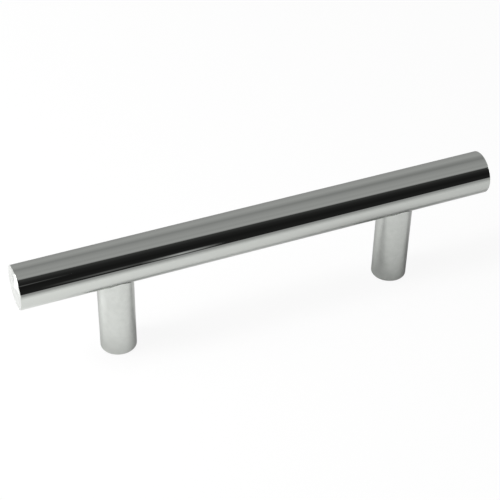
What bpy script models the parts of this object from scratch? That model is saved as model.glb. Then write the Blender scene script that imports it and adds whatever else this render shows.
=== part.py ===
"""Bar pull for a cabinet door or drawer: a solid round bar carried by two coped round posts.

Each post is drilled and tapped right through. A headless stud in its upper end screws into a blind
hole in the bar and draws the post's saddle up against the bar, and the lower end of the same
thread takes the screw that comes through the door. Metres, +Z away from the door, X along the bar.
The feet stand on Z = 0, and the origin lies midway between them.
"""

import math

import bmesh
import bpy

# Driving sizes, in metres
BAR_LENGTH = 0.1254
BAR_DIAMETER = 0.0111
BAR_END_ROUND = 0.0002
HOLE_CENTRES = 0.0762
PROJECTION = 0.03175
POST_DIAMETER = 0.0092
FOOT_ROUND = 0.0002
THREAD_DIAMETER = 0.0042
FOOT_COUNTERSINK = 0.0003
STUD_IN_BAR = 0.0055
STUD_IN_POST = 0.0065
STUD_CHAMFER = 0.0004
HEX_KEY_WIDTH = 0.0020
HEX_KEY_DEPTH = 0.0022
DRILL_POINT_ANGLE = math.radians(118)

# Clearances and tolerances
SEAT_GAP = 0.0003
CUTTER_OVERRUN = 0.002
MERGE_DISTANCE = 0.000001

# Facets
BAR_SIDES = 128
POST_SIDES = 96
STUD_SIDES = 32
ROUND_STEPS = 4
SHARP_ANGLE = math.radians(30)

# Places and sizes that follow from them
bar_radius = BAR_DIAMETER / 2
bar_axis_height = PROJECTION - bar_radius
bar_underside = bar_axis_height - bar_radius
saddle_radius = bar_radius + SEAT_GAP
post_radius = POST_DIAMETER / 2
thread_radius = THREAD_DIAMETER / 2
stud_radius = thread_radius - SEAT_GAP
stud_length = STUD_IN_BAR + STUD_IN_POST
stud_foot_height = bar_underside - STUD_IN_POST


def clear_scene():
    for thing in list(bpy.data.objects):
        bpy.data.objects.remove(thing)


def new_collection(name):
    collection = bpy.data.collections.new(name)
    bpy.context.scene.collection.children.link(collection)
    return collection


def metal(name, colour, roughness):
    """A bare or plated metal, as a Principled BSDF."""
    material = bpy.data.materials.new(name)
    material.use_nodes = True
    shader = material.node_tree.nodes["Principled BSDF"]
    shader.inputs["Base Color"].default_value = (*colour, 1.0)
    shader.inputs["Metallic"].default_value = 1.0
    shader.inputs["Roughness"].default_value = roughness
    return material


def rounded_corner(centre_x, centre_z, radius, start, end):
    """Points of an arc in the profile's plane, from the start angle to the end angle in degrees."""
    points = []
    for step in range(ROUND_STEPS + 1):
        angle = math.radians(start + (end - start) * step / ROUND_STEPS)
        points.append((centre_x + radius * math.cos(angle), centre_z + radius * math.sin(angle)))
    return points


def turned(name, profile, sides, collection, closed=False):
    """An object turned about its own Z axis from a profile that runs down its outer side."""
    mesh = bpy.data.meshes.new(name)
    shape = bmesh.new()
    corners = [shape.verts.new((x, 0.0, z)) for x, z in profile]
    for first, second in zip(corners, corners[1:]):
        shape.edges.new((first, second))
    if closed:
        shape.edges.new((corners[-1], corners[0]))
    shape.to_mesh(mesh)
    shape.free()
    piece = bpy.data.objects.new(name, mesh)
    collection.objects.link(piece)
    screw = piece.modifiers.new("turning", "SCREW")
    screw.axis = "Z"
    screw.angle = 2 * math.pi
    screw.steps = sides
    screw.render_steps = sides
    screw.use_merge_vertices = True
    screw.merge_threshold = MERGE_DISTANCE
    return piece


def prism(name, radius, length, sides, collection):
    """A straight round or six-sided bar about its own Z axis, centred on its origin."""
    mesh = bpy.data.meshes.new(name)
    shape = bmesh.new()
    bmesh.ops.create_cone(
        shape, cap_ends=True, segments=sides, radius1=radius, radius2=radius, depth=length
    )
    shape.to_mesh(mesh)
    shape.free()
    piece = bpy.data.objects.new(name, mesh)
    collection.objects.link(piece)
    return piece


def cut(piece, cutter):
    cutter.hide_render = True
    cutter.display_type = "WIRE"
    boolean = piece.modifiers.new("cut by " + cutter.name, "BOOLEAN")
    boolean.operation = "DIFFERENCE"
    boolean.solver = "EXACT"
    boolean.object = cutter


def settle(piece):
    """Keeps the solid that the modifiers make, shaded smooth except across its real edges."""
    profile = piece.data
    graph = bpy.context.evaluated_depsgraph_get()
    solid = bpy.data.meshes.new_from_object(piece.evaluated_get(graph))
    piece.modifiers.clear()
    piece.data = solid
    bpy.data.meshes.remove(profile)
    solid.name = piece.name
    solid.shade_smooth()
    solid.set_sharp_from_angle(angle=SHARP_ANGLE)


def make_bar(parts, cutters, frame, finish):
    """The rod, with its end rims rounded and a blind drilled hole over each post."""
    half = BAR_LENGTH / 2
    flat_radius = bar_radius - BAR_END_ROUND
    profile = [(0.0, half)]
    profile += rounded_corner(flat_radius, half - BAR_END_ROUND, BAR_END_ROUND, 90, 0)
    profile += rounded_corner(flat_radius, BAR_END_ROUND - half, BAR_END_ROUND, 0, -90)
    profile += [(0.0, -half)]
    bar = turned("bar", profile, BAR_SIDES, parts)
    bar.data.materials.append(finish)
    bar.parent = frame
    bar.location = (0.0, 0.0, bar_axis_height)
    bar.rotation_euler = (0.0, math.pi / 2, 0.0)
    for side, place in post_places():
        cut(bar, make_drill(side, place, cutters, frame))
    return bar


def make_drill(side, place, cutters, frame):
    """The blind hole's shape: its pointed end up inside the bar, its open end past the underside."""
    shoulder = STUD_IN_BAR + SEAT_GAP
    point = shoulder + thread_radius / math.tan(DRILL_POINT_ANGLE / 2)
    profile = [
        (0.0, point),
        (thread_radius, shoulder),
        (thread_radius, -CUTTER_OVERRUN),
        (0.0, -CUTTER_OVERRUN),
    ]
    drill = turned(side + "_drill", profile, STUD_SIDES, cutters)
    drill.parent = frame
    drill.location = (place, 0.0, bar_underside)
    return drill


def make_post(side, place, parts, cutters, frame, finish):
    """A tapped-through round post whose upper end is coped to the bar's curve."""
    blank_top = bar_axis_height
    profile = [(post_radius, blank_top)]
    profile += rounded_corner(post_radius - FOOT_ROUND, FOOT_ROUND, FOOT_ROUND, 0, -90)
    profile += [
        (thread_radius + FOOT_COUNTERSINK, 0.0),
        (thread_radius, FOOT_COUNTERSINK),
        (thread_radius, blank_top),
    ]
    post = turned(side + "_post", profile, POST_SIDES, parts, closed=True)
    post.data.materials.append(finish)
    post.parent = frame
    post.location = (place, 0.0, 0.0)
    cut(post, make_saddle(side, place, cutters, frame))
    return post


def make_saddle(side, place, cutters, frame):
    """The bar's own curve, a seat gap larger, lying across the post."""
    length = POST_DIAMETER + 2 * CUTTER_OVERRUN
    saddle = prism(side + "_saddle", saddle_radius, length, BAR_SIDES, cutters)
    saddle.parent = frame
    saddle.location = (place, 0.0, bar_axis_height)
    saddle.rotation_euler = (0.0, math.pi / 2, 0.0)
    return saddle


def make_stud(side, place, parts, cutters, frame, finish):
    """The headless stud, at its thread's core diameter, with a hex socket towards the foot."""
    tip_radius = stud_radius - STUD_CHAMFER
    profile = [
        (0.0, stud_length),
        (tip_radius, stud_length),
        (stud_radius, stud_length - STUD_CHAMFER),
        (stud_radius, STUD_CHAMFER),
        (tip_radius, 0.0),
        (0.0, 0.0),
    ]
    stud = turned(side + "_stud", profile, STUD_SIDES, parts)
    stud.data.materials.append(finish)
    stud.parent = frame
    stud.location = (place, 0.0, stud_foot_height)
    cut(stud, make_hex_key(side, place, cutters, frame))
    return stud


def make_hex_key(side, place, cutters, frame):
    """The six-sided socket's shape, from below the stud up to the socket's floor."""
    corner_radius = HEX_KEY_WIDTH / 2 / math.cos(math.pi / 6)
    length = HEX_KEY_DEPTH + CUTTER_OVERRUN
    key = prism(side + "_hex_key", corner_radius, length, 6, cutters)
    key.parent = frame
    key.location = (place, 0.0, stud_foot_height + HEX_KEY_DEPTH - length / 2)
    return key


def post_places():
    """Each side's name, and the place of its post along the bar."""
    return [("left", -HOLE_CENTRES / 2), ("right", HOLE_CENTRES / 2)]


def main():
    clear_scene()
    parts = new_collection("bar_pull")
    cutters = new_collection("bar_pull_cutters")
    frame = bpy.data.objects.new("bar_pull_origin", None)
    parts.objects.link(frame)
    polished = metal("polished_chrome", (0.57, 0.59, 0.56), 0.06)
    satin = metal("satin_chrome", (0.60, 0.62, 0.60), 0.25)
    zinc = metal("zinc_plate", (0.48, 0.49, 0.51), 0.45)
    pieces = [make_bar(parts, cutters, frame, polished)]
    for side, place in post_places():
        pieces.append(make_post(side, place, parts, cutters, frame, satin))
        pieces.append(make_stud(side, place, parts, cutters, frame, zinc))
    for piece in pieces:
        settle(piece)


main()
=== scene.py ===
"""The bar pull's looks: a mirror-polished bar on two satin posts, on a white table in a studio.

The bar and the posts are made again here with finer facets, a hairline joint and a cut thread, each
in the place of its CAD solid. The studs stay as the CAD has them, with a material of their own.
Metres, in the CAD's frame: X along the bar, +Z away from the door.
"""

import math

import bmesh
import bpy
from mathutils import Matrix, Vector


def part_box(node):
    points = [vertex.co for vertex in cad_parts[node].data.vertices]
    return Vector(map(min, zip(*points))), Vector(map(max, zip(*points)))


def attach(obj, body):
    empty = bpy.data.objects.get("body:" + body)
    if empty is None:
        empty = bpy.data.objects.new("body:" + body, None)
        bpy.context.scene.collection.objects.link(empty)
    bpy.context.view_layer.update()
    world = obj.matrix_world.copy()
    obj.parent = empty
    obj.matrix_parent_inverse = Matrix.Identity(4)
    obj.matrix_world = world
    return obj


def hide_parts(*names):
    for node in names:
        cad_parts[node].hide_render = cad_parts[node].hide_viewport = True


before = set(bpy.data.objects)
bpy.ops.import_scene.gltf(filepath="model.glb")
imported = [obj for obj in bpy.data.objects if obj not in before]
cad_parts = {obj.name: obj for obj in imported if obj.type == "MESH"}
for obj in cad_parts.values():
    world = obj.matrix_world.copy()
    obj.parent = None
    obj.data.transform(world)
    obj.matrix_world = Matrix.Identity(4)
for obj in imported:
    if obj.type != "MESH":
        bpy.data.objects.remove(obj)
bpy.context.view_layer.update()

MM = 0.001

# Sizes read from the frame
bar_low, bar_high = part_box("bar")
post_low, post_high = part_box("left_post")
stud_low, stud_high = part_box("left_stud")
bar_half = bar_high.x
bar_radius = (bar_high.z - bar_low.z) / 2
bar_axis = (bar_high.z + bar_low.z) / 2
post_radius = (post_high.x - post_low.x) / 2
post_place = -(post_high.x + post_low.x) / 2
stud_radius = (stud_high.x - stud_low.x) / 2

# Facets
BAR_SIDES = 256
POST_SIDES = 192
DRILL_SIDES = 48
ARC_STEPS = 8
SHARP_ANGLE = math.radians(35)
# How far along the bar a facet's normal points, at least, for it to be part of an end face
END_FACING = 0.999

# Rounds and joints. SUPPORT sets off the rings that keep a flat part flat beside a round.
RIM_ROUND = 0.2 * MM
FOOT_ROUND = 0.2 * MM
SADDLE_EDGE = 0.04 * MM
HAIRLINE = 0.02 * MM
SUPPORT = 0.03 * MM
SEAT_MARGIN = 1 * MM

# The tapped hole in each post, and the drilled one over it in the bar
THREAD_GAP = 0.3 * MM
THREAD_PITCH = 0.794 * MM
THREAD_DEPTH = 0.34 * MM
THREAD_FLAT = 0.1
THREAD_BELOW_STUD = 0.5 * MM
THREAD_LEAD = 0.2 * MM
LEVELS_PER_TURN = 10
COUNTERSINK = 0.3 * MM
HOLE_PAST_STUD = 0.3 * MM
DRILL_OVERRUN = 1 * MM
DRILL_POINT = math.radians(118)
thread_radius = stud_radius + THREAD_GAP

# Finishes: two colours to blend, a range of roughness, and the tint where some are seen aslant
POLISHED_COLOURS = ((0.560, 0.577, 0.552), (0.580, 0.598, 0.572))
POLISHED_ROUGHNESS = (0.02, 0.045)
POLISHED_TINT = (0.8, 0.8, 0.8, 1.0)
TURNED_COLOURS = ((0.650, 0.663, 0.645), (0.680, 0.693, 0.675))
TURNED_ROUGHNESS = (0.32, 0.38)
SATIN_COLOURS = ((0.530, 0.546, 0.523), (0.660, 0.678, 0.653))
SATIN_ROUGHNESS = (0.15, 0.24)
SATIN_TINT = (0.65, 0.65, 0.65, 1.0)
ZINC_COLOURS = ((0.44, 0.46, 0.50), (0.58, 0.59, 0.61))
ZINC_ROUGHNESS = (0.35, 0.5)
PAPER_COLOURS = ((0.955, 0.955, 0.952), (0.965, 0.965, 0.962))
PAPER_ROUGHNESS = 0.9

# Noise lies about 0.5, and mostly within this range
NOISE_RANGE = (0.3, 0.7)

# The rings that a lathe leaves on the bar's ends: each is flat for a share of its width, then leans
RING_PITCH = 0.25 * MM
RING_FLAT = 0.30
RING_SLOPE = math.tan(math.radians(36))

# Camera, as it stood for the photograph
CAMERA_PLACE = Vector((-0.1122, -0.2517, 0.2470))
CAMERA_AIM = Vector((-0.0016, 0.0021, 0.0175))
CAMERA_ROLL = math.radians(1.245)
CAMERA_LENS = 102.15
CAMERA_SENSOR = 36.0
CAMERA_CLIP = 0.01

# Table. Its glow in mirrors carries painted light and shade: a painted shade about each foot, a
# painted level that falls from the left foot to the right, and a painted bright patch by the bar's
# left end. A pair of levels or shades is the left foot's and the right foot's.
TABLE_SIZE = 12.0
TABLE_DROP = 0.02 * MM
GLOW_SEEN = 0.91
GLOW_MIRRORED = 0.35
# Painted light: the mirrored glow's level away from the feet, higher at the left than at the right
PAINTED_LIGHT_LEVEL = (1.12, 0.94)
GLOW_REACH = (0.25, 0.60)
# Painted shade in the mirrored glow about each foot, and the reach over which it fades
PAINTED_FOOT_SHADE = (0.05, 0.62)
PAINTED_SHADE_REACH = (0.004, 0.038)
# A painted bright patch in the mirrored glow near the bar's left end: place, reach and light
PAINTED_PATCH_PLACE = (-0.061, 0.006)
PAINTED_PATCH_REACH = 0.014
PAINTED_PATCH_LIGHT = 0.75

# Tent. Its skirts lie just over the table, before and behind the bar, from just past its left end.
TENT_RADIUS = 0.60
TENT_HALF_LENGTH = 0.80
TENT_STEPS = 60
SKIRT_HEIGHT = 0.5 * MM
SKIRT_FRONT = 0.053
SKIRT_BACK = 0.055
SKIRT_START = -0.065
CARD_PLACE = -0.45
CARD_RADIUS = 0.07

# The tent's cloth, from below the front horizon up and over to below the back one: degrees about
# the bar from the front horizon, light, and how much of what lies behind the cloth it covers
TENT_LIGHT = (
    (-27, 0.80, 0.0), (-18, 0.58, 0.5), (-10, 0.46, 1.0), (-3.5, 0.42, 1.0), (-2.5, 0.02, 1.0),
    (8, 0.019, 1.0), (27, 0.013, 1.0), (45, 0.024, 1.0), (60.3, 0.060, 1.0), (64.1, 0.46, 1.0),
    (70, 0.50, 1.0), (79, 0.44, 1.0), (90, 0.47, 1.0), (108, 0.41, 1.0), (121, 0.345, 1.0),
    (133, 0.43, 1.0), (150, 0.51, 1.0), (190, 0.47, 1.0), (200, 0.45, 1.0), (206, 0.44, 0.0),
)
TENT_START = TENT_LIGHT[0][0]
TENT_END = TENT_LIGHT[-1][0]

# The pattern leans along the tent, by degrees for each metre past this place at the tent's top
TENT_LEAN_PLACE = 0.20
TENT_LEAN = 64.0

# Lighter seams and one darker fold in the cloth: degrees, half width in degrees, place and reach
# along the bar, and the light that is added
SEAMS = (
    (41.0, 3.0, 0.025, 0.035, 0.14),
    (5.8, 7.2, 0.139, 0.030, 0.66),
    (8.2, 6.0, 0.085, 0.045, 0.15),
    (124.0, 22.0, 0.34, 0.16, -0.07),
)

# Light from the white room on the object
FILL_STRENGTH = 0.22

# Lamps: the key and a smaller, higher one at the left, and a kicker at the right
KEY_PLACE = Vector((-0.48, 0.05, 0.28))
KEY_AIM = Vector((-0.02, 0.0, 0.01))
KEY_SIZE = (0.36, 0.60)
KEY_POWER = 3.15
TOP_PLACE = Vector((-0.42, 0.04, 0.46))
TOP_AIM = Vector((0.0, 0.0, 0.0))
TOP_SIZE = (0.14, 0.14)
TOP_POWER = 1.70
KICK_PLACE = Vector((0.70, -0.10, 0.12))
KICK_AIM = Vector((0.06, 0.0, 0.026))
KICK_SIZE = (0.25, 0.25)
KICK_POWER = 0.6


# Node helpers. A value is a number or another node's output.

def new_material(name):
    """A material, with its node tree and its Principled shader."""
    material = bpy.data.materials.new(name)
    material.use_nodes = True
    tree = material.node_tree
    return material, tree, tree.nodes["Principled BSDF"]


def node(tree, kind, **settings):
    made = tree.nodes.new(kind)
    for name, value in settings.items():
        setattr(made, name, value)
    return made


def fill(tree, socket, value):
    """Sets an input to a number, or links an output to it."""
    if isinstance(value, (int, float)):
        socket.default_value = value
    else:
        tree.links.new(value, socket)


def maths(tree, operation, *values):
    made = node(tree, "ShaderNodeMath", operation=operation)
    for socket, value in zip(made.inputs, values):
        fill(tree, socket, value)
    return made.outputs[0]


def mapped(tree, value, source, target, smooth=False):
    """A value mapped from the source range onto the target range, and held within it."""
    kind = "SMOOTHSTEP" if smooth else "LINEAR"
    made = node(tree, "ShaderNodeMapRange", interpolation_type=kind)
    for name, end in zip(("From Min", "From Max", "To Min", "To Max"), (*source, *target)):
        fill(tree, made.inputs[name], end)
    fill(tree, made.inputs["Value"], value)
    return made.outputs["Result"]


def distance(tree, first, second):
    """How far a point lies from the origin, by its places along two axes."""
    squares = [maths(tree, "MULTIPLY", place, place) for place in (first, second)]
    return maths(tree, "SQRT", maths(tree, "ADD", *squares))


def triangle(tree, value, centre, reach):
    """One at the centre, falling evenly to nought at the reach on both sides."""
    off = maths(tree, "ABSOLUTE", maths(tree, "SUBTRACT", value, centre))
    left = maths(tree, "SUBTRACT", 1.0, maths(tree, "DIVIDE", off, reach))
    return maths(tree, "MAXIMUM", left, 0.0)


def foot_to_foot(tree, along, values):
    """A value that runs evenly from the left foot's to the right foot's."""
    return mapped(tree, along, (-post_place, post_place), values)


def object_place(tree):
    return node(tree, "ShaderNodeTexCoord").outputs["Object"]


def axes(tree, place):
    """The outputs X, Y and Z of a place."""
    parts = node(tree, "ShaderNodeSeparateXYZ")
    tree.links.new(place, parts.inputs["Vector"])
    return parts.outputs


def noise(tree, place, scale, detail=2.0, stretch=(1.0, 1.0, 1.0)):
    """Noise of a given scale per metre, on a place stretched along the axes."""
    mapping = node(tree, "ShaderNodeMapping")
    mapping.inputs["Scale"].default_value = stretch
    tree.links.new(place, mapping.inputs["Vector"])
    made = node(tree, "ShaderNodeTexNoise")
    made.inputs["Scale"].default_value = scale
    made.inputs["Detail"].default_value = detail
    tree.links.new(mapping.outputs["Vector"], made.inputs["Vector"])
    return made.outputs["Fac"]


def bump(tree, height, depth, below=None):
    """The normal of a relief, which can lie on the relief below it."""
    made = node(tree, "ShaderNodeBump")
    made.inputs["Strength"].default_value = 1.0
    made.inputs["Distance"].default_value = depth
    tree.links.new(height, made.inputs["Height"])
    if below is not None:
        tree.links.new(below, made.inputs["Normal"])
    return made.outputs["Normal"]


def colour(tree, shader, pattern, colours):
    """Colours the shader by a pattern, from the first colour at nought to the second at one."""
    made = node(tree, "ShaderNodeMix", data_type="RGBA")
    tree.links.new(pattern, made.inputs["Factor"])
    for name, tone in zip("AB", colours):
        made.inputs[name].default_value = (*tone, 1.0)
    tree.links.new(made.outputs["Result"], shader.inputs["Base Color"])


def roughen(tree, shader, pattern, roughness):
    """Spreads the shader's roughness over a range, by noise."""
    tree.links.new(mapped(tree, pattern, NOISE_RANGE, roughness), shader.inputs["Roughness"])


def show_mix(tree, share, first, second):
    """Puts a mix of two shaders out as the surface."""
    both = node(tree, "ShaderNodeMixShader")
    for socket, source in zip(both.inputs, (share, first.outputs[0], second.outputs[0])):
        tree.links.new(source, socket)
    tree.links.new(both.outputs["Shader"], tree.nodes["Material Output"].inputs["Surface"])


# Materials

def polished_chrome():
    """Mirror plate, with the slow waves of hand polishing and a duller edge where seen aslant."""
    material, tree, shader = new_material("polished_chrome")
    shader.inputs["Metallic"].default_value = 1.0
    shader.inputs["Specular Tint"].default_value = POLISHED_TINT
    place = object_place(tree)
    colour(tree, shader, noise(tree, place, scale=90.0), POLISHED_COLOURS)
    roughen(tree, shader, noise(tree, place, scale=400.0), POLISHED_ROUGHNESS)
    waves = noise(tree, place, scale=55.0, detail=1.0, stretch=(1.0, 2.0, 2.0))
    normal = bump(tree, waves, depth=0.020 * MM)
    ripples = noise(tree, place, scale=500.0, detail=1.0, stretch=(1.0, 0.5, 0.5))
    normal = bump(tree, ripples, depth=0.0015 * MM, below=normal)
    tree.links.new(normal, shader.inputs["Normal"])
    return material


def turned_chrome():
    """The bar's end faces: plated over the rings that a lathe leaves, which fan the light out."""
    material, tree, shader = new_material("turned_chrome")
    shader.inputs["Metallic"].default_value = 1.0
    place = object_place(tree)
    cloud = noise(tree, place, scale=300.0)
    colour(tree, shader, cloud, TURNED_COLOURS)
    roughen(tree, shader, cloud, TURNED_ROUGHNESS)
    # Each ring about the bar's axis first keeps the face's own normal, and then leans it outward
    parts = axes(tree, place)
    up = maths(tree, "SUBTRACT", parts["Z"], bar_axis)
    radius = distance(tree, up, parts["Y"])
    across_ring = maths(tree, "FRACT", maths(tree, "DIVIDE", radius, RING_PITCH))
    leans = maths(tree, "GREATER_THAN", across_ring, RING_FLAT)
    slope = maths(tree, "DIVIDE", maths(tree, "MULTIPLY", leans, RING_SLOPE), radius)
    outward = node(tree, "ShaderNodeCombineXYZ")
    tree.links.new(maths(tree, "MULTIPLY", parts["Y"], slope), outward.inputs["Y"])
    tree.links.new(maths(tree, "MULTIPLY", up, slope), outward.inputs["Z"])
    leant = node(tree, "ShaderNodeVectorMath", operation="ADD")
    tree.links.new(outward.outputs["Vector"], leant.inputs[0])
    tree.links.new(node(tree, "ShaderNodeNewGeometry").outputs["Normal"], leant.inputs[1])
    normal = node(tree, "ShaderNodeVectorMath", operation="NORMALIZE")
    tree.links.new(leant.outputs["Vector"], normal.inputs[0])
    tree.links.new(normal.outputs["Vector"], shader.inputs["Normal"])
    return material


def satin_chrome():
    """The posts' duller plate: faintly mottled in tone, gloss and relief."""
    material, tree, shader = new_material("satin_chrome")
    shader.inputs["Metallic"].default_value = 1.0
    shader.inputs["Specular Tint"].default_value = SATIN_TINT
    place = object_place(tree)
    mottle = noise(tree, place, scale=650.0, detail=4.0)
    colour(tree, shader, mottle, SATIN_COLOURS)
    roughen(tree, shader, mottle, SATIN_ROUGHNESS)
    normal = bump(tree, noise(tree, place, scale=230.0), depth=0.008 * MM)
    grain = noise(tree, place, scale=2600.0, detail=3.0)
    normal = bump(tree, grain, depth=0.003 * MM, below=normal)
    tree.links.new(normal, shader.inputs["Normal"])
    return material


def zinc_plate():
    """The studs' bright zinc, with its faint crystalline patches."""
    material, tree, shader = new_material("zinc_plate")
    shader.inputs["Metallic"].default_value = 1.0
    patches = noise(tree, object_place(tree), scale=1500.0, detail=3.0)
    colour(tree, shader, patches, ZINC_COLOURS)
    roughen(tree, shader, patches, ZINC_ROUGHNESS)
    tree.links.new(bump(tree, patches, depth=0.01 * MM), shader.inputs["Normal"])
    return material


def table_white():
    """White paper that glows a little, as if lit from below, where it is seen or mirrored.

    Seen, the glow is plain, and the table is white out to the horizon. Mirrored, it has a painted
    shade about each foot, a painted level that falls from left to right, and a painted bright patch
    that stands in for the light the bar's end throws.
    """
    material, tree, shader = new_material("table_white")
    place = object_place(tree)
    parts = axes(tree, place)
    colour(tree, shader, noise(tree, place, scale=700.0, detail=3.0), PAPER_COLOURS)
    shader.inputs["Roughness"].default_value = PAPER_ROUGHNESS
    shader.inputs["Specular IOR Level"].default_value = 0.0

    rays = node(tree, "ShaderNodeLightPath").outputs
    from_middle = distance(tree, parts["X"], parts["Y"])
    fade = mapped(tree, from_middle, GLOW_REACH, (1.0, 0.0), smooth=True)
    dimming = maths(tree, "MULTIPLY", fade, 1.0 - GLOW_SEEN)
    seen = maths(tree, "SUBTRACT", rays["Is Camera Ray"], dimming)
    mirrored = maths(tree, "MAXIMUM", rays["Is Glossy Ray"], rays["Is Transmission Ray"])
    mirrored = maths(tree, "MULTIPLY", mirrored, GLOW_MIRRORED)
    mirrored = maths(tree, "MULTIPLY", mirrored, fade)
    share = maths(tree, "MAXIMUM", seen, mirrored)

    level = painted_mirror_light(tree, parts)
    lacking = maths(tree, "SUBTRACT", 1.0, level)
    lift = maths(tree, "MULTIPLY", lacking, rays["Is Camera Ray"])
    glow = node(tree, "ShaderNodeEmission")
    tree.links.new(maths(tree, "ADD", level, lift), glow.inputs["Strength"])
    show_mix(tree, share, shader, glow)
    return material


def painted_mirror_light(tree, parts):
    """The glow's painted light in a mirror: shade about the feet, a fall to the right, a bright
    patch.
    """
    beside_foot = maths(tree, "SUBTRACT", maths(tree, "ABSOLUTE", parts["X"]), post_place)
    from_foot = distance(tree, beside_foot, parts["Y"])
    # Painted shade at the feet, on a painted level that falls from the left foot to the right
    painted_foot_level = foot_to_foot(tree, parts["X"], [1.0 - dark for dark in PAINTED_FOOT_SHADE])
    painted_clear_level = foot_to_foot(tree, parts["X"], PAINTED_LIGHT_LEVEL)
    level = mapped(tree, from_foot, PAINTED_SHADE_REACH, (painted_foot_level, painted_clear_level), smooth=True)
    # A painted bright patch near the bar's left end
    beside_patch = maths(tree, "SUBTRACT", parts["X"], PAINTED_PATCH_PLACE[0])
    behind_patch = maths(tree, "SUBTRACT", parts["Y"], PAINTED_PATCH_PLACE[1])
    from_patch = distance(tree, beside_patch, behind_patch)
    painted_patch = triangle(tree, from_patch, 0.0, PAINTED_PATCH_REACH)
    return maths(tree, "ADD", level, maths(tree, "MULTIPLY", painted_patch, PAINTED_PATCH_LIGHT))


def tent_cloth():
    """The tent's glow: grey cloth above and behind, black in front, with faint seams and a fold."""
    material, tree, shader = new_material("tent_cloth")
    tree.nodes.remove(shader)
    parts = axes(tree, object_place(tree))
    front = maths(tree, "MULTIPLY", parts["Y"], -1.0)
    above = maths(tree, "SUBTRACT", parts["Z"], bar_axis)
    degrees = maths(tree, "MULTIPLY", maths(tree, "ARCTAN2", above, front), 180 / math.pi)
    # Counted from straight below, so that the turn doesn't break at the back's horizon
    degrees = maths(tree, "WRAP", degrees, 270.0, -90.0)

    past = maths(tree, "SUBTRACT", parts["X"], TENT_LEAN_PLACE)
    lean = maths(tree, "MULTIPLY", past, TENT_LEAN / TENT_RADIUS)
    lean = maths(tree, "MULTIPLY", lean, parts["Z"])
    turned = maths(tree, "SUBTRACT", maths(tree, "ADD", degrees, lean), TENT_START)
    ramp = node(tree, "ShaderNodeValToRGB")
    tree.links.new(maths(tree, "DIVIDE", turned, TENT_END - TENT_START), ramp.inputs["Fac"])
    stops = ramp.color_ramp.elements
    while len(stops) < len(TENT_LIGHT):
        stops.new(1.0)
    # Placing a stop can change the order of the stops, so they are coloured afterwards
    for stop, (at, light, cover) in zip(stops, TENT_LIGHT):
        stop.position = (at - TENT_START) / (TENT_END - TENT_START)
    for stop, (at, light, cover) in zip(stops, TENT_LIGHT):
        stop.color = (light, light, light, cover)

    strength = ramp.outputs["Color"]
    for at, width, centre, reach, light in SEAMS:
        near = triangle(tree, degrees, at, width)
        along = triangle(tree, parts["X"], centre, reach)
        extra = maths(tree, "MULTIPLY", maths(tree, "MULTIPLY", near, along), light)
        strength = maths(tree, "ADD", strength, extra)
    glow = node(tree, "ShaderNodeEmission")
    tree.links.new(strength, glow.inputs["Strength"])
    clear = node(tree, "ShaderNodeBsdfTransparent")
    show_mix(tree, ramp.outputs["Alpha"], clear, glow)
    return material


# Meshes

def circle(sides):
    """The turns, in radians, of the points of a ring with so many sides."""
    return [2 * math.pi * side / sides for side in range(sides)]


def grid_object(name, rows, closed, caps, material):
    """A tube of rows, each a ring of as many points. It closes on itself, or ends in flat caps."""
    shape = bmesh.new()
    rings = [[shape.verts.new(point) for point in row] for row in rows]
    pairs = list(zip(rings, rings[1:]))
    if closed:
        pairs.append((rings[-1], rings[0]))
    for first, second in pairs:
        for side in range(len(first)):
            after = (side + 1) % len(first)
            shape.faces.new((first[side], first[after], second[after], second[side]))
    if caps:
        for ring in (rings[0], rings[-1]):
            centre = shape.verts.new(sum((v.co for v in ring), Vector()) / len(ring))
            for side in range(len(ring)):
                shape.faces.new((ring[side], ring[(side + 1) % len(ring)], centre))
    bmesh.ops.recalc_face_normals(shape, faces=shape.faces)
    return finished_object(name, shape, material)


def finished_object(name, shape, material):
    """Makes an object of a bmesh shape, and puts it into the scene."""
    mesh = bpy.data.meshes.new(name)
    shape.to_mesh(mesh)
    shape.free()
    mesh.materials.append(material)
    piece = bpy.data.objects.new(name, mesh)
    bpy.context.scene.collection.objects.link(piece)
    return piece


def shade(piece):
    """Shades a piece smooth, except across its real edges."""
    piece.data.shade_smooth()
    piece.data.set_sharp_from_angle(angle=SHARP_ANGLE)


def arc(centre_along, centre_out, radius, start, end):
    """Points of an arc as (along, out), from the start angle to the end angle in degrees."""
    points = []
    for step in range(ARC_STEPS + 1):
        angle = math.radians(start + (end - start) * step / ARC_STEPS)
        along = centre_along + radius * math.cos(angle)
        points.append((along, centre_out + radius * math.sin(angle)))
    return points


def bar_rows():
    """Rings of the bar from its left end to its right, close together where the form turns."""
    flat = bar_radius - RIM_ROUND
    seat = post_radius + SEAT_MARGIN
    left = [(-bar_half, flat * part) for part in (0.25, 0.5, 0.75)]
    left += [(-bar_half, flat - SUPPORT)]
    left += arc(RIM_ROUND - bar_half, flat, RIM_ROUND, 180, 90)
    left += [(RIM_ROUND - bar_half + SUPPORT, bar_radius)]
    left += [(-post_place - seat, bar_radius), (-post_place + seat, bar_radius)]
    profile = left + [(0.0, bar_radius)] + [(-along, out) for along, out in reversed(left)]
    return [
        [
            (along, out * math.cos(turn), bar_axis + out * math.sin(turn))
            for turn in circle(BAR_SIDES)
        ]
        for along, out in profile
    ]


def drill(place):
    """The blind hole over a post, as a round cutter with a pointed end."""
    rows = [
        [
            (place + thread_radius * math.cos(turn), thread_radius * math.sin(turn), height)
            for turn in circle(DRILL_SIDES)
        ]
        for height in (bar_axis - bar_radius - DRILL_OVERRUN, stud_high.z + HOLE_PAST_STUD)
    ]
    cutter = grid_object("drill", rows, closed=False, caps=True, material=None)
    # The upper cap's centre, made last, becomes the drill's point
    cutter.data.vertices[-1].co.z += thread_radius / math.tan(DRILL_POINT / 2)
    return cutter


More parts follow.
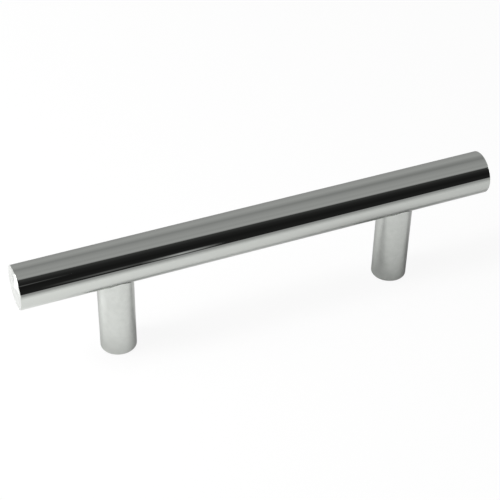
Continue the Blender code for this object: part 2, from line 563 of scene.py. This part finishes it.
def cut_away(piece, cutter):
    """Cuts a hole of the cutter's shape, and does away with the cutter."""
    boolean = piece.modifiers.new("cut", "BOOLEAN")
    boolean.operation = "DIFFERENCE"
    boolean.solver = "EXACT"
    boolean.object = cutter
    graph = bpy.context.evaluated_depsgraph_get()
    whole = piece.data
    piece.data = bpy.data.meshes.new_from_object(piece.evaluated_get(graph))
    piece.data.name = piece.name
    piece.modifiers.clear()
    bpy.data.meshes.remove(whole)
    bpy.data.objects.remove(cutter)


def make_bar(side_material, end_material):
    rows = bar_rows()
    bar = grid_object("polished_bar", rows, closed=False, caps=True, material=side_material)
    for place in (-post_place, post_place):
        cut_away(bar, drill(place))
    bar.data.materials.append(end_material)
    for face in bar.data.polygons:
        if abs(face.normal.x) > END_FACING and abs(face.center.x) > bar_half - SUPPORT:
            face.material_index = 1
    shade(bar)
    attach(bar, "root")
    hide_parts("bar")


def saddle_height(out, turn):
    """How high the coped end stands at a distance out from the post's axis, under the bar."""
    across = out * math.sin(turn)
    curve = bar_radius + HAIRLINE
    return bar_axis - math.sqrt(curve * curve - across * across)


def thread_out(height, turn):
    """How far out the tapped hole's wall lies: a vee with flats, which climbs a pitch each turn."""
    phase = height / THREAD_PITCH - turn / (2 * math.pi)
    ridge = abs(2 * (phase - math.floor(phase)) - 1)
    inward = (ridge - THREAD_FLAT) / (1 - 2 * THREAD_FLAT)
    return thread_radius - THREAD_DEPTH * min(1.0, max(0.0, inward))


def post_outline(turn):
    """The post's section at one turn about its axis, as (out, height), once round the outline."""
    foot_flat = post_radius - FOOT_ROUND
    rounded = arc(0.0, foot_flat, FOOT_ROUND, 0, 90)
    outline = [(out, FOOT_ROUND - along) for along, out in rounded]

    wall_low = FOOT_ROUND + SUPPORT
    wall_high = saddle_height(post_radius, turn) - SADDLE_EDGE
    for part in (0.0, 0.5, 1.0):
        outline.append((post_radius, wall_low + (wall_high - wall_low) * part))

    seat_out = post_radius - SADDLE_EDGE
    for part in (0.0, 0.25, 0.5, 0.75, 1.0):
        out = seat_out + (thread_radius - seat_out) * part
        outline.append((out, saddle_height(out, turn)))

    # The thread starts below the stud, fades in over one turn and ends at the countersink
    thread_top = stud_low.z - THREAD_BELOW_STUD
    outline += [(thread_radius, stud_low.z), (thread_radius, thread_top + THREAD_LEAD)]
    levels = int((thread_top - COUNTERSINK) / THREAD_PITCH * LEVELS_PER_TURN)
    for level in range(levels + 1):
        height = thread_top + (COUNTERSINK - thread_top) * level / levels
        fade = min(1.0, level / LEVELS_PER_TURN)
        out = thread_radius + (thread_out(height, turn) - thread_radius) * fade
        outline.append((out, height))
    outline += [(thread_radius + COUNTERSINK, 0.0), (foot_flat - SUPPORT, 0.0)]
    return outline


def make_post(side, place, material):
    turns = circle(POST_SIDES)
    outlines = [post_outline(turn) for turn in turns]
    rows = [
        [
            (place + out * math.cos(turn), out * math.sin(turn), height)
            for turn, (out, height) in zip(turns, corners)
        ]
        for corners in zip(*outlines)
    ]
    name = "satin_" + side + "_post"
    post = grid_object(name, rows, closed=True, caps=False, material=material)
    shade(post)
    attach(post, "root")
    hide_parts(side + "_post")


# Stage and light

def make_table():
    """A white table, a hair below the feet."""
    bpy.ops.mesh.primitive_plane_add(size=TABLE_SIZE, location=(0.0, 0.0, -TABLE_DROP))
    table = bpy.context.object
    table.name = "table"
    table.data.materials.append(table_white())


def half_round(radius):
    """Points from the front's foot up and over to the back's, as (across, height)."""
    turns = [math.pi * step / TENT_STEPS for step in range(TENT_STEPS + 1)]
    return [(-radius * math.cos(turn), SKIRT_HEIGHT + radius * math.sin(turn)) for turn in turns]


def make_tent():
    """A half-round tent over the bar, which only reflections see.

    It has skirts along the table, and a card of the same cloth past the bar's left end, which the
    bar's side mirrors when it is seen along its length.
    """
    dome = half_round(TENT_RADIUS)
    front = [(-SKIRT_FRONT, SKIRT_HEIGHT), (-TENT_RADIUS, SKIRT_HEIGHT)]
    back = [(SKIRT_BACK, SKIRT_HEIGHT), (TENT_RADIUS, SKIRT_HEIGHT)]
    shape = bmesh.new()
    for path, start in ((dome, -TENT_HALF_LENGTH), (front, SKIRT_START), (back, SKIRT_START)):
        near, far = (
            [shape.verts.new((along, across, height)) for across, height in path]
            for along in (start, TENT_HALF_LENGTH)
        )
        for step in range(len(path) - 1):
            shape.faces.new((near[step], near[step + 1], far[step + 1], far[step]))
    card = half_round(CARD_RADIUS)
    shape.faces.new(shape.verts.new((CARD_PLACE, across, height)) for across, height in card)
    tent = finished_object("tent", shape, tent_cloth())
    for rays in ("visible_camera", "visible_diffuse", "visible_transmission", "visible_shadow"):
        setattr(tent, rays, False)


def make_world():
    """White where the camera, a mirror or a clear piece looks, and a softer fill on the object."""
    world = bpy.data.worlds.new("white_room")
    world.use_nodes = True
    tree = world.node_tree
    background = tree.nodes["Background"]
    background.inputs["Color"].default_value = (1.0, 1.0, 1.0, 1.0)
    rays = node(tree, "ShaderNodeLightPath").outputs
    seen = maths(tree, "MAXIMUM", rays["Is Camera Ray"], rays["Is Glossy Ray"])
    seen = maths(tree, "MAXIMUM", seen, rays["Is Transmission Ray"])
    lift = maths(tree, "MULTIPLY", seen, 1.0 - FILL_STRENGTH)
    strength = maths(tree, "ADD", lift, FILL_STRENGTH)
    tree.links.new(strength, background.inputs["Strength"])
    bpy.context.scene.world = world


def make_lamp(name, place, aim, size, power, mirrored=True):
    """A soft lamp that faces its aim."""
    lamp = bpy.data.lights.new(name, "AREA")
    lamp.shape = "ELLIPSE"
    lamp.size, lamp.size_y = size
    lamp.energy = power
    holder = bpy.data.objects.new(name, lamp)
    holder.location = place
    holder.rotation_mode = "QUATERNION"
    holder.rotation_quaternion = (aim - place).to_track_quat("-Z", "Y")
    holder.visible_camera = False
    holder.visible_glossy = mirrored
    bpy.context.scene.collection.objects.link(holder)


def make_camera():
    """The photograph's camera: its place, its aim and its slight roll."""
    lens = bpy.data.cameras.new("camera")
    lens.lens = CAMERA_LENS
    lens.sensor_width = CAMERA_SENSOR
    lens.clip_start = CAMERA_CLIP
    camera = bpy.data.objects.new("camera", lens)
    forward = (CAMERA_AIM - CAMERA_PLACE).normalized()
    level = forward.cross(Vector((0.0, 0.0, 1.0))).normalized()
    upright = level.cross(forward)
    right = level * math.cos(CAMERA_ROLL) + upright * math.sin(CAMERA_ROLL)
    up = upright * math.cos(CAMERA_ROLL) - level * math.sin(CAMERA_ROLL)
    turn = Matrix((right, up, -forward)).transposed()
    camera.matrix_world = Matrix.Translation(CAMERA_PLACE) @ turn.to_4x4()
    bpy.context.scene.collection.objects.link(camera)
    bpy.context.scene.camera = camera


def main():
    make_camera()
    polished = polished_chrome()
    satin = satin_chrome()
    zinc = zinc_plate()
    make_bar(polished, turned_chrome())
    for side, place in (("left", -post_place), ("right", post_place)):
        make_post(side, place, satin)
        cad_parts[side + "_stud"].material_slots[0].material = zinc
    make_table()
    make_tent()
    make_world()
    make_lamp("key", KEY_PLACE, KEY_AIM, KEY_SIZE, KEY_POWER)
    make_lamp("top", TOP_PLACE, TOP_AIM, TOP_SIZE, TOP_POWER, mirrored=False)
    make_lamp("kicker", KICK_PLACE, KICK_AIM, KICK_SIZE, KICK_POWER)
    bpy.context.scene.view_settings.view_transform = "Standard"


main()
